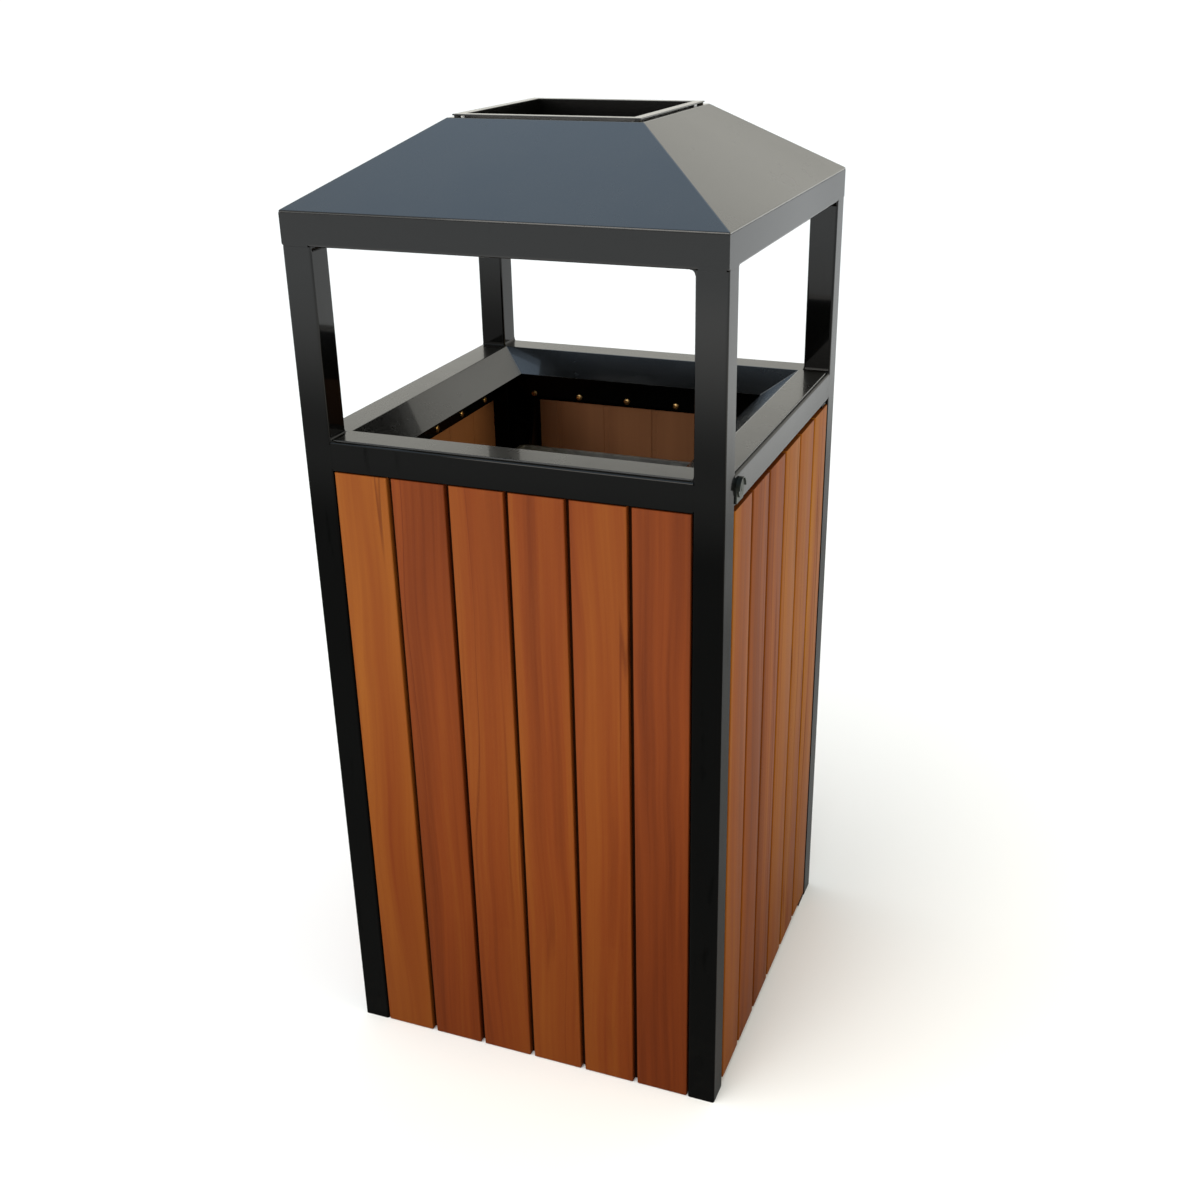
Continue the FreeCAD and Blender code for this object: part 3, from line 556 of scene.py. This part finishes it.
class Shape(Graph):
    """Builds one geometry tree with named inputs"""

    KINDS = ((bpy.types.Material, "NodeSocketMaterial"), (bpy.types.Object, "NodeSocketObject"),
             (int, "NodeSocketInt"), (float, "NodeSocketFloat"))

    def __init__(self, name, sizes):
        tree = bpy.data.node_groups.new(name, "GeometryNodeTree")
        super().__init__(tree)
        face = tree.interface
        face.new_socket("Geometry", in_out="OUTPUT", socket_type="NodeSocketGeometry")
        face.new_socket("Geometry", in_out="INPUT", socket_type="NodeSocketGeometry")
        for label, value in sizes.items():
            kind = next(kind for sort, kind in self.KINDS if isinstance(value, sort))
            face.new_socket(label, in_out="INPUT", socket_type=kind)
        self.sizes = sizes
        self.start = self.node("NodeGroupInput", {}, {})

    def given(self, label):
        return Wire(self, self.start.outputs[label])

    def close(self, geometry):
        """Real geometry, smooth but for its sharp edges, with its material"""
        real = self.wire("GeometryNodeRealizeInstances", 0, {}, {"Geometry": geometry})
        bend = self.wire("GeometryNodeInputMeshEdgeAngle", "Unsigned Angle")
        sharp = self.wire("GeometryNodeStoreNamedAttribute", 0,
                          {"data_type": "BOOLEAN", "domain": "EDGE"},
                          {"Geometry": real, "Name": "sharp_edge", "Value": bend > SHARP_BEND})
        smooth = self.wire("GeometryNodeSetShadeSmooth", 0, {}, {"Geometry": sharp})
        dressed = self.wire("GeometryNodeSetMaterial", 0, {},
                            {"Geometry": smooth, "Material": self.given("Material")})
        self.node("NodeGroupOutput", {}, {"Geometry": dressed})

    def run(self, name, base):
        """The tree's result on a base mesh, as a plain object"""
        work = add_object("work", base)
        modifier = work.modifiers.new(name, "NODES")
        modifier.node_group = self.tree
        for item in self.tree.interface.items_tree:
            if item.in_out == "INPUT" and item.name in self.sizes:
                modifier[item.identifier] = self.sizes[item.name]
        return plain_copy(name, work)


def point_mesh(name, places, turns):
    """Loose points, each with a stored turn as XYZ angles"""
    mesh = bpy.data.meshes.new(name)
    mesh.from_pydata([tuple(place) for place in places], [], [])
    stored = mesh.attributes.new("turn", "FLOAT_VECTOR", "POINT")
    stored.data.foreach_set("vector", [part for turn in turns for part in turn])
    return mesh


def scattered(name, slot, places, turns, pattern, seed, spin=0.0):
    """One pattern object at every place, turned as stored, with a random spin"""
    g = Shape(name, {"Pattern": pattern, "Spin": spin, "Seed": seed, "Material": finish(slot)})
    points = g.wire("GeometryNodeMeshToPoints", 0, {}, {"Mesh": g.given("Geometry")})
    turn = g.wire("GeometryNodeInputNamedAttribute", 0, {"data_type": "FLOAT_VECTOR"},
                  {"Name": "turn"})
    facing = g.wire("FunctionNodeEulerToRotation", 0, {}, {"Euler": turn})
    about = g.wire("FunctionNodeRandomValue", 1, {"data_type": "FLOAT"},
                   {2: 0.0, 3: g.given("Spin"), "Seed": g.given("Seed")})
    twist = g.wire("FunctionNodeEulerToRotation", 0, {},
                   {"Euler": g.vector(0.0, 0.0, about)})
    rotation = g.wire("FunctionNodeRotateRotation", 0, {"rotation_space": "LOCAL"},
                      {"Rotation": facing, "Rotate By": twist})
    source = g.wire("GeometryNodeObjectInfo", "Geometry", {}, {"Object": g.given("Pattern")})
    placed = g.wire("GeometryNodeInstanceOnPoints", 0, {},
                    {"Points": points, "Instance": source, "Rotation": rotation})
    g.close(placed)
    return g.run(name, point_mesh(name, places, turns))


# ---- slats ---------------------------------------------------------------------------

def slat_node(wall, n):
    """The CAD node of one slat; the right wall is the door"""
    return f"{'door' if wall == 'right' else wall}_slat_{n + 1}"


def slat_wall(name, wall, first_board, body, details):
    """One wall's slats: a rounded board with a lip, drawn up and repeated along the wall"""
    nodes = [slat_node(wall, n) for n in range(SLATS)]
    turn = WALLS.index(wall) * QUARTER
    level_back = Matrix.Rotation(-turn, 3, "Z")
    boxes = []
    for node in nodes:
        one, other = (level_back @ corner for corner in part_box(node))
        boxes.append([sorted(ends) for ends in zip(one, other)])
    boxes.sort(key=lambda spans: spans[0][0])
    (left, lip_end), (outer, inner), (low, high) = boxes[0]
    last_left, last_right = boxes[-1][0]
    wide = last_right - last_left
    g = Shape(name, {
        "Count": SLATS, "Pitch": (last_left - left) / (SLATS - 1), "Start": left + wide / 2,
        "Depth": (outer + inner) / 2, "Low": low, "High": high, "Width": wide,
        "Thickness": inner - outer, "Ease": details.slat_ease, "Turn": turn,
        "Lip": lip_end - left - wide + details.lip_tuck, "Lip thickness": details.slat_lip,
        "Lip sink": details.lip_sink, "First board": first_board,
        "Material": finish("slat_timber")})
    section = g.wire("GeometryNodeCurvePrimitiveQuadrilateral", 0, {},
                     {"Width": g.given("Width"), "Height": g.given("Thickness")})
    eased = g.wire("GeometryNodeFilletCurve", 0, {"mode": "POLY"},
                   {"Curve": section, "Count": 4, "Radius": g.given("Ease")})
    flat = g.wire("GeometryNodeFillCurve", 0, {"mode": "NGONS"}, {"Curve": eased})
    tall = g.given("High") - g.given("Low")
    raised = g.wire("GeometryNodeExtrudeMesh", 0, {"mode": "FACES"},
                    {"Mesh": flat, "Offset": g.vector(0.0, 0.0, 1.0), "Offset Scale": tall})
    bottom = g.wire("GeometryNodeFlipFaces", 0, {}, {"Mesh": flat})
    closed = g.wire("GeometryNodeJoinGeometry", 0, {}, {"Geometry": [raised, bottom]})
    board = g.wire("GeometryNodeMergeByDistance", 0, {},
                   {"Geometry": closed, "Distance": BOARD_JOIN})
    lip_wide = g.given("Lip") + details.slat_ease
    lip = g.wire("GeometryNodeMeshCube", 0, {}, {
        "Size": g.vector(lip_wide, g.given("Lip thickness"), tall)})
    lip = g.wire("GeometryNodeTransform", 0, {}, {"Geometry": lip, "Translation": g.vector(
        (g.given("Width") + g.given("Lip") - details.slat_ease) * 0.5,
        (g.given("Thickness") - g.given("Lip thickness")) * 0.5 - g.given("Lip sink"),
        tall * 0.5)})
    row = g.wire("GeometryNodeMeshLine", 0, {"mode": "OFFSET"}, {
        "Count": g.given("Count"), "Offset": g.vector(g.given("Pitch"), 0.0, 0.0),
        "Start Location": g.vector(g.given("Start"), g.given("Depth"), g.given("Low"))})
    index = g.wire("GeometryNodeInputIndex")
    lipped = (g.given("Count") - 1.0) > index
    numbered = []
    for part, chosen, is_lip in ((board, True, 0.0), (lip, lipped, 1.0)):
        placed = g.wire("GeometryNodeInstanceOnPoints", 0, {},
                        {"Points": row, "Instance": part, "Selection": chosen})
        for label, value in (("board", index + g.given("First board")), ("lip", is_lip)):
            placed = g.wire("GeometryNodeStoreNamedAttribute", 0,
                            {"data_type": "FLOAT", "domain": "INSTANCE"},
                            {"Geometry": placed, "Name": label, "Value": value})
        numbered.append(placed)
    joined = g.wire("GeometryNodeJoinGeometry", 0, {}, {"Geometry": numbered})
    real = g.wire("GeometryNodeRealizeInstances", 0, {}, {"Geometry": joined})
    stood = g.wire("GeometryNodeTransform", 0, {}, {
        "Geometry": real, "Rotation": g.vector(0.0, 0.0, g.given("Turn"))})
    g.close(stood)
    piece = g.run(name, bpy.data.meshes.new(name))
    return settle(piece, "slat_timber", body, nodes)


# ---- screws and welds ----------------------------------------------------------------

def pan_head(radius, high, reach, shank):
    """A screw along Z, its head above the seat at 0 and a cross recess in it"""
    shape = bmesh.new()
    sides = 28
    outline = [(shank * 0.15, -reach), (shank, -reach + shank), (shank, 0.0)]
    outline += [(radius, 0.0), (radius, high * 0.30)]
    outline += [(radius * math.cos(a), high * (0.30 + 0.70 * math.sin(a)))
                for a in (0.35, 0.7, 1.05, 1.35)]
    rings = [[shape.verts.new((r * math.cos(2 * math.pi * n / sides),
                               r * math.sin(2 * math.pi * n / sides), z))
              for n in range(sides)] for r, z in outline]
    for lower, upper in zip(rings, rings[1:]):
        for n in range(sides):
            m = (n + 1) % sides
            shape.faces.new((lower[n], lower[m], upper[m], upper[n]))
    shape.faces.new(rings[0][::-1])
    shape.faces.new(rings[-1])
    head = add_object("work_head", mesh_from(shape, "work_head"))
    cross = bmesh.new()
    long, wide, deep = radius * 0.62, radius * 0.14, high * 0.62
    plan = [(wide, -long), (wide, -wide), (long, -wide), (long, wide), (wide, wide),
            (wide, long), (-wide, long), (-wide, wide), (-long, wide), (-long, -wide),
            (-wide, -wide), (-wide, -long)]
    low = [cross.verts.new((x * 0.7, y * 0.7, high - deep)) for x, y in plan]
    top = [cross.verts.new((x, y, high * 1.5)) for x, y in plan]
    cross.faces.new(low[::-1])
    cross.faces.new(top)
    for n in range(len(plan)):
        m = (n + 1) % len(plan)
        cross.faces.new((low[n], low[m], top[m], top[n]))
    tool = add_object("work_cross", mesh_from(cross, "work_cross"))
    recess = head.modifiers.new("Recess", "BOOLEAN")
    recess.object = tool
    recess.solver = "EXACT"
    made = plain_copy("work_screw", head)
    bpy.data.objects.remove(tool)
    return made


def screw_places(walls):
    """Seats of the screws behind the slats, and the turns that face them inwards"""
    places, turns = [], []
    for wall in walls:
        turn = WALLS.index(wall) * QUARTER
        for n in range(SLATS):
            low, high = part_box(slat_node(wall, n))
            local = Matrix.Rotation(-turn, 3, "Z") @ ((low + high) / 2)
            for level in SCREW_ROWS:
                seat = Vector((local.x, -SCREW_SEAT, level))
                places.append(Matrix.Rotation(turn, 3, "Z") @ seat)
                turns.append((-QUARTER, 0.0, turn))
    return places, turns


def weld_bead(radius, long, step):
    """Concave fillet along Y, in the corner between X and -Z, with faint ripples"""
    # how far it sinks into the tubes, runs on inside them, and stands off them at its ends
    root, toe, proud = 0.4 * MM, 0.6 * MM, 0.15 * MM
    shape = bmesh.new()
    rings = []
    count = max(6, round(2 * long / step))
    for n in range(count + 1):
        along = -long / 2 + long * n / count
        swell = radius * (1.0 + 0.05 * (-1) ** n)
        hollow = swell - proud
        plan = [(-root, root), (swell + toe, root), (swell + toe, 0.0)]
        for k in range(7):
            a = QUARTER * k / 6
            plan.append((swell - hollow * math.sin(a), -swell + hollow * math.cos(a)))
        plan += [(0.0, -swell - toe), (-root, -swell - toe)]
        rings.append([shape.verts.new((x, along, z)) for x, z in plan])
    size = len(rings[0])
    for near, far in zip(rings, rings[1:]):
        for n in range(size):
            m = (n + 1) % size
            shape.faces.new((near[n], far[n], far[m], near[m]))
    shape.faces.new(rings[0])
    shape.faces.new(rings[-1][::-1])
    bmesh.ops.recalc_face_normals(shape, faces=shape.faces)
    return add_object("work_bead", mesh_from(shape, "work_bead"))


def seam_paths(corner):
    """Middle lines of the ground welds that fill the hollows beside the tubes' corners"""
    post_low, post_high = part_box("post_front_left")
    rail_low, rail_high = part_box("top_rail_front")
    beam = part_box("eave_beam_front")[0].z
    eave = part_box("roof_hood")[0].z
    out, inner = -post_low.y, -post_high.x
    face, half = -out + corner / 2, corner / 2
    paths = [((-out + corner, face, eave - half), (out, face, eave - half))]
    for side in (-1, 1):
        paths.append(((side * (out - corner), face, beam + half),
                      (side * (inner + corner), face, beam + half)))
        paths.append(((side * (inner + half), face, rail_low.z + corner),
                      (side * (inner + half), face, rail_high.z - corner)))
    turned = []
    for quarter in range(4):
        about = Matrix.Rotation(quarter * QUARTER, 3, "Z")
        turned += [[about @ Vector(end) for end in path] for path in paths]
    return turned


def ground_seams(name, corner):
    """Square bars along the seams, flush with the tubes' faces"""
    ends = [end for path in seam_paths(corner) for end in path]
    base = bpy.data.meshes.new(name)
    base.from_pydata(ends, [(n, n + 1) for n in range(0, len(ends), 2)], [])
    g = Shape(name, {"Width": corner, "Material": finish("frame_paint")})
    line = g.wire("GeometryNodeMeshToCurve", 0, {}, {"Mesh": g.given("Geometry")})
    section = g.wire("GeometryNodeCurvePrimitiveQuadrilateral", 0, {},
                     {"Width": g.given("Width"), "Height": g.given("Width")})
    g.close(g.wire("GeometryNodeCurveToMesh", 0, {},
                   {"Curve": line, "Profile Curve": section, "Fill Caps": True}))
    return g.run(name, base)


# ---- operators -----------------------------------------------------------------------

class BIN_OT_frame_tubes(Operator):
    """Paint the posts, the beams under the roof and the rails under the mouth"""
    bl_idname = "bin.frame_tubes"
    bl_label = "Frame tubes"

    def execute(self, context):
        tubes = ["post_" + corner for corner in CORNERS]
        tubes += [kind + wall for kind in ("eave_beam_", "top_rail_") for wall in WALLS]
        for tube in tubes:
            softened(tube, "frame_paint", context.scene.bin_details.tube_edge, segments=2)
        return {"FINISHED"}


class BIN_OT_frame_bars(Operator):
    """Round and paint the bars, foot plates and floor pan"""
    bl_idname = "bin.frame_bars"
    bl_label = "Bars and feet"

    def execute(self, context):
        edge = context.scene.bin_details.bar_edge
        for node in ("bottom_rails", "foot_plates", "slat_fixing_bars", "floor_pan",
                     "lower_pivot_tab"):
            softened(node, "frame_paint", edge, segments=2)
        return {"FINISHED"}


class BIN_OT_welds(Operator):
    """Run weld fillets into the corners where posts meet beams and rails"""
    bl_idname = "bin.welds"
    bl_label = "Welds"

    def execute(self, context):
        details = context.scene.bin_details
        rail_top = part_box("top_rail_front")[1].z
        beam_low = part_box("eave_beam_front")[0].z
        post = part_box("post_front_left")
        inner, out = post[1].x, -(post[0].y + post[1].y) / 2
        places, turns = [], []
        for quarter in range(4):
            about = Matrix.Rotation(quarter * QUARTER, 3, "Z")
            for level, over in ((beam_low, 0.0), (rail_top, math.pi)):
                for side in (-1, 1):
                    spot = Vector((side * -inner, -out, level))
                    flip = (side > 0) != (over > 0.0)
                    places.append(about @ spot)
                    turns.append((0.0, over, quarter * QUARTER + (math.pi if flip else 0.0)))
        long = post[1].y - post[0].y - details.weld_stop
        bead = weld_bead(details.weld, long, details.weld_step)
        piece = scattered("corner_welds", "frame_paint", places, turns, bead, details.seed)
        bpy.data.objects.remove(bead)
        settle(piece, "frame_paint", "frame", [])
        settle(ground_seams("ground_seams", details.tube_corner), "frame_paint", "frame", [])
        return {"FINISHED"}


class BIN_OT_slats(Operator):
    """Make the timber slats of the three fixed walls and the door"""
    bl_idname = "bin.slats"
    bl_label = "Slats"

    def execute(self, context):
        details = context.scene.bin_details
        for order, wall in enumerate(WALLS):
            body = "door" if wall == "right" else "frame"
            slat_wall(wall + "_boards", wall, details.first_board + order * SLATS, body,
                      details)
        return {"FINISHED"}


class BIN_OT_screws(Operator):
    """Make the screws that hold the slats to their bars"""
    bl_idname = "bin.screws"
    bl_label = "Screws"

    def execute(self, context):
        details = context.scene.bin_details
        screw = pan_head(details.screw_head, SCREW_HIGH, SCREW_REACH, SCREW_SHANK)
        for name, node, body, walls in (
                ("wall_screws", "slat_screws", "frame", ("front", "back", "left")),
                ("hinged_wall_screws", "door_screws", "door", ("right",))):
            places, turns = screw_places(walls)
            piece = scattered(name, "screw_brass", places, turns, screw, details.seed,
                              QUARTER)
            settle(piece, "screw_brass", body, [node])
        bpy.data.objects.remove(screw)
        return {"FINISHED"}


class BIN_OT_roof(Operator):
    """Round the folded edges of the roof and paint it"""
    bl_idname = "bin.roof"
    bl_label = "Roof"

    def execute(self, context):
        softened("roof_hood", "frame_paint", context.scene.bin_details.fold,
                 finish("sheet_paint"))
        return {"FINISHED"}


class BIN_OT_ash_pan(Operator):
    """Round and paint the ash pan, and finish the buffers that it rests on"""
    bl_idname = "bin.ash_pan"
    bl_label = "Ash pan"

    def execute(self, context):
        details = context.scene.bin_details
        softened("ash_pan", "pan_paint", details.pan_edge)
        softened("ash_pan_buffers", "buffer_rubber", details.buffer_edge)
        return {"FINISHED"}


class BIN_OT_funnel(Operator):
    """Round the folds of the mouth funnel and paint it"""
    bl_idname = "bin.funnel"
    bl_label = "Mouth funnel"

    def execute(self, context):
        softened("mouth_funnel", "frame_paint", context.scene.bin_details.funnel_edge,
                 finish("sheet_paint"))
        return {"FINISHED"}


class BIN_OT_liner(Operator):
    """Round and finish the zinc liner, its ears and its two drop handles"""
    bl_idname = "bin.liner"
    bl_label = "Liner"

    def execute(self, context):
        details = context.scene.bin_details
        softened("liner", "liner_zinc", details.liner_edge, segments=2)
        softened("liner_handle_ears", "handle_zinc", details.ear_edge)
        for node in ("liner_handle_left", "liner_handle_right"):
            softened(node, "handle_zinc", details.handle_edge, segments=2)
        return {"FINISHED"}


class BIN_OT_door(Operator):
    """Round and paint the door's frame, catch and pivots"""
    bl_idname = "bin.door"
    bl_label = "Door"

    def execute(self, context):
        edge = context.scene.bin_details.door_edge
        for node in ("door_frame", "door_catch", "door_pivots"):
            softened(node, "frame_paint", edge, segments=2)
        return {"FINISHED"}


class BIN_OT_lock(Operator):
    """Round and finish the cam lock's plate, barrel, nut, plug, cam and screw"""
    bl_idname = "bin.lock"
    bl_label = "Lock"

    def execute(self, context):
        edge = context.scene.bin_details.lock_edge
        for node in ("lock_plate", "lock_barrel", "lock_nut", "lock_plug", "lock_cam",
                     "lock_cam_screw"):
            softened(node, "lock_metal", edge)
        return {"FINISHED"}


class BIN_OT_stage(Operator):
    """Set the floor, the soft light and the camera"""
    bl_idname = "bin.stage"
    bl_label = "Stage"

    def execute(self, context):
        settings = context.scene.bin_stage
        make_floor(settings)
        make_sky(settings)
        make_lamps()
        make_camera(settings)
        context.scene.view_settings.view_transform = "Standard"
        return {"FINISHED"}


# ---- stage ---------------------------------------------------------------------------

def make_floor(settings):
    shape = bmesh.new()
    bmesh.ops.create_grid(shape, x_segments=8, y_segments=8, size=FLOOR_HALF)
    floor = add_object("floor", mesh_from(shape, "floor"))
    g = Finish("pale_floor")
    cloud = g.noise(g.place(), 1.5, 3.0)
    shade = g.mix(cloud, times(settings.floor, 0.99), times(settings.floor, 1.01))
    dress(floor, g.done({"Base Color": shade, "Roughness": 0.9 + cloud * 0.05,
                         "Specular IOR Level": 0.0}))


def make_sky(settings):
    """Soft light from all round: cool above, warm and bright behind"""
    world = bpy.data.worlds.new("soft_light")
    bpy.context.scene.world = world
    world.use_nodes = True
    g = Graph(world.node_tree)
    _, behind, up = g.split(g.wire("ShaderNodeTexCoord", "Generated"))
    shade = g.mix(up.ramp(0.55, 0.85), settings.horizon, settings.sky)
    strength = (0.60 + behind.ramp(0.0, 0.9) * 0.50 + up.ramp(0.6, 0.90) * 0.40
                + (1.0 - up.ramp(0.02, 0.30)) * 0.7)
    light = g.wire("ShaderNodeBackground", 0, {}, {"Color": shade, "Strength": strength})
    g.node("ShaderNodeOutputWorld", {}, {"Surface": light})


def make_lamps():
    """Soft light from high in front, low through the mouth, and a warm box at the right"""
    for name, kind, place, size, power, shade in LAMPS:
        lamp = bpy.data.lights.new(name, kind)
        if kind == "SUN":
            lamp.angle = size
        else:
            lamp.shape = "SQUARE"
            lamp.size = size
        lamp.energy = power
        lamp.color = shade
        holder = add_object(name, lamp)
        holder.location = place
        holder.visible_glossy = kind == "AREA"
        aim = LAMP_TARGET - Vector(place)
        holder.rotation_euler = aim.to_track_quat("-Z", "Y").to_euler()


def make_camera(settings):
    turn, rise = settings.azimuth, settings.elevation
    back = Vector((math.sin(turn) * math.cos(rise), -math.cos(turn) * math.cos(rise),
                   math.sin(rise)))
    right = (-back).cross(Vector((0.0, 0.0, 1.0))).normalized()
    up = right.cross(-back)
    tilt = settings.roll
    across = right * math.cos(tilt) + up * math.sin(tilt)
    along = up * math.cos(tilt) - right * math.sin(tilt)
    camera = bpy.data.cameras.new("camera")
    camera.lens = settings.lens
    camera.sensor_width = 36.0
    camera.shift_x, camera.shift_y = settings.shift
    camera.clip_start, camera.clip_end = 0.05, 60.0
    holder = add_object("camera", camera)
    turned = Matrix((across, along, back)).transposed().to_4x4()
    holder.matrix_world = Matrix.Translation(Vector(settings.aim) + back * settings.distance) \
        @ turned
    bpy.context.scene.camera = holder


# ---- add-on --------------------------------------------------------------------------

OPERATORS = (
    BIN_OT_frame_tubes, BIN_OT_frame_bars, BIN_OT_welds, BIN_OT_slats, BIN_OT_screws,
    BIN_OT_roof, BIN_OT_ash_pan, BIN_OT_funnel, BIN_OT_liner, BIN_OT_door, BIN_OT_lock,
    BIN_OT_stage)


class BIN_PT_panel(Panel):
    bl_idname = "BIN_PT_panel"
    bl_label = "Litter bin"
    bl_space_type = "VIEW_3D"
    bl_region_type = "UI"
    bl_category = "Litter bin"

    def draw(self, context):
        layout = self.layout
        for operator in OPERATORS:
            layout.operator(operator.bl_idname)
        for label in ("bin_finishes", "bin_details", "bin_stage"):
            settings = getattr(context.scene, label)
            box = layout.box()
            for name in settings.__annotations__:
                box.prop(settings, name)


CLASSES = (BinFinishSettings, BinDetailSettings, BinStageSettings, *OPERATORS, BIN_PT_panel)


def register():
    for each in CLASSES:
        bpy.utils.register_class(each)
    bpy.types.Scene.bin_finishes = PointerProperty(type=BinFinishSettings)
    bpy.types.Scene.bin_details = PointerProperty(type=BinDetailSettings)
    bpy.types.Scene.bin_stage = PointerProperty(type=BinStageSettings)


def unregister():
    del bpy.types.Scene.bin_stage
    del bpy.types.Scene.bin_details
    del bpy.types.Scene.bin_finishes
    for each in reversed(CLASSES):
        bpy.utils.unregister_class(each)


def main():
    register()
    bpy.ops.bin.stage()
    bpy.ops.bin.frame_tubes()
    bpy.ops.bin.frame_bars()
    bpy.ops.bin.welds()
    bpy.ops.bin.slats()
    bpy.ops.bin.screws()
    bpy.ops.bin.roof()
    bpy.ops.bin.ash_pan()
    bpy.ops.bin.funnel()
    bpy.ops.bin.liner()
    bpy.ops.bin.door()
    bpy.ops.bin.lock()


if __name__ == "__main__":
    main()
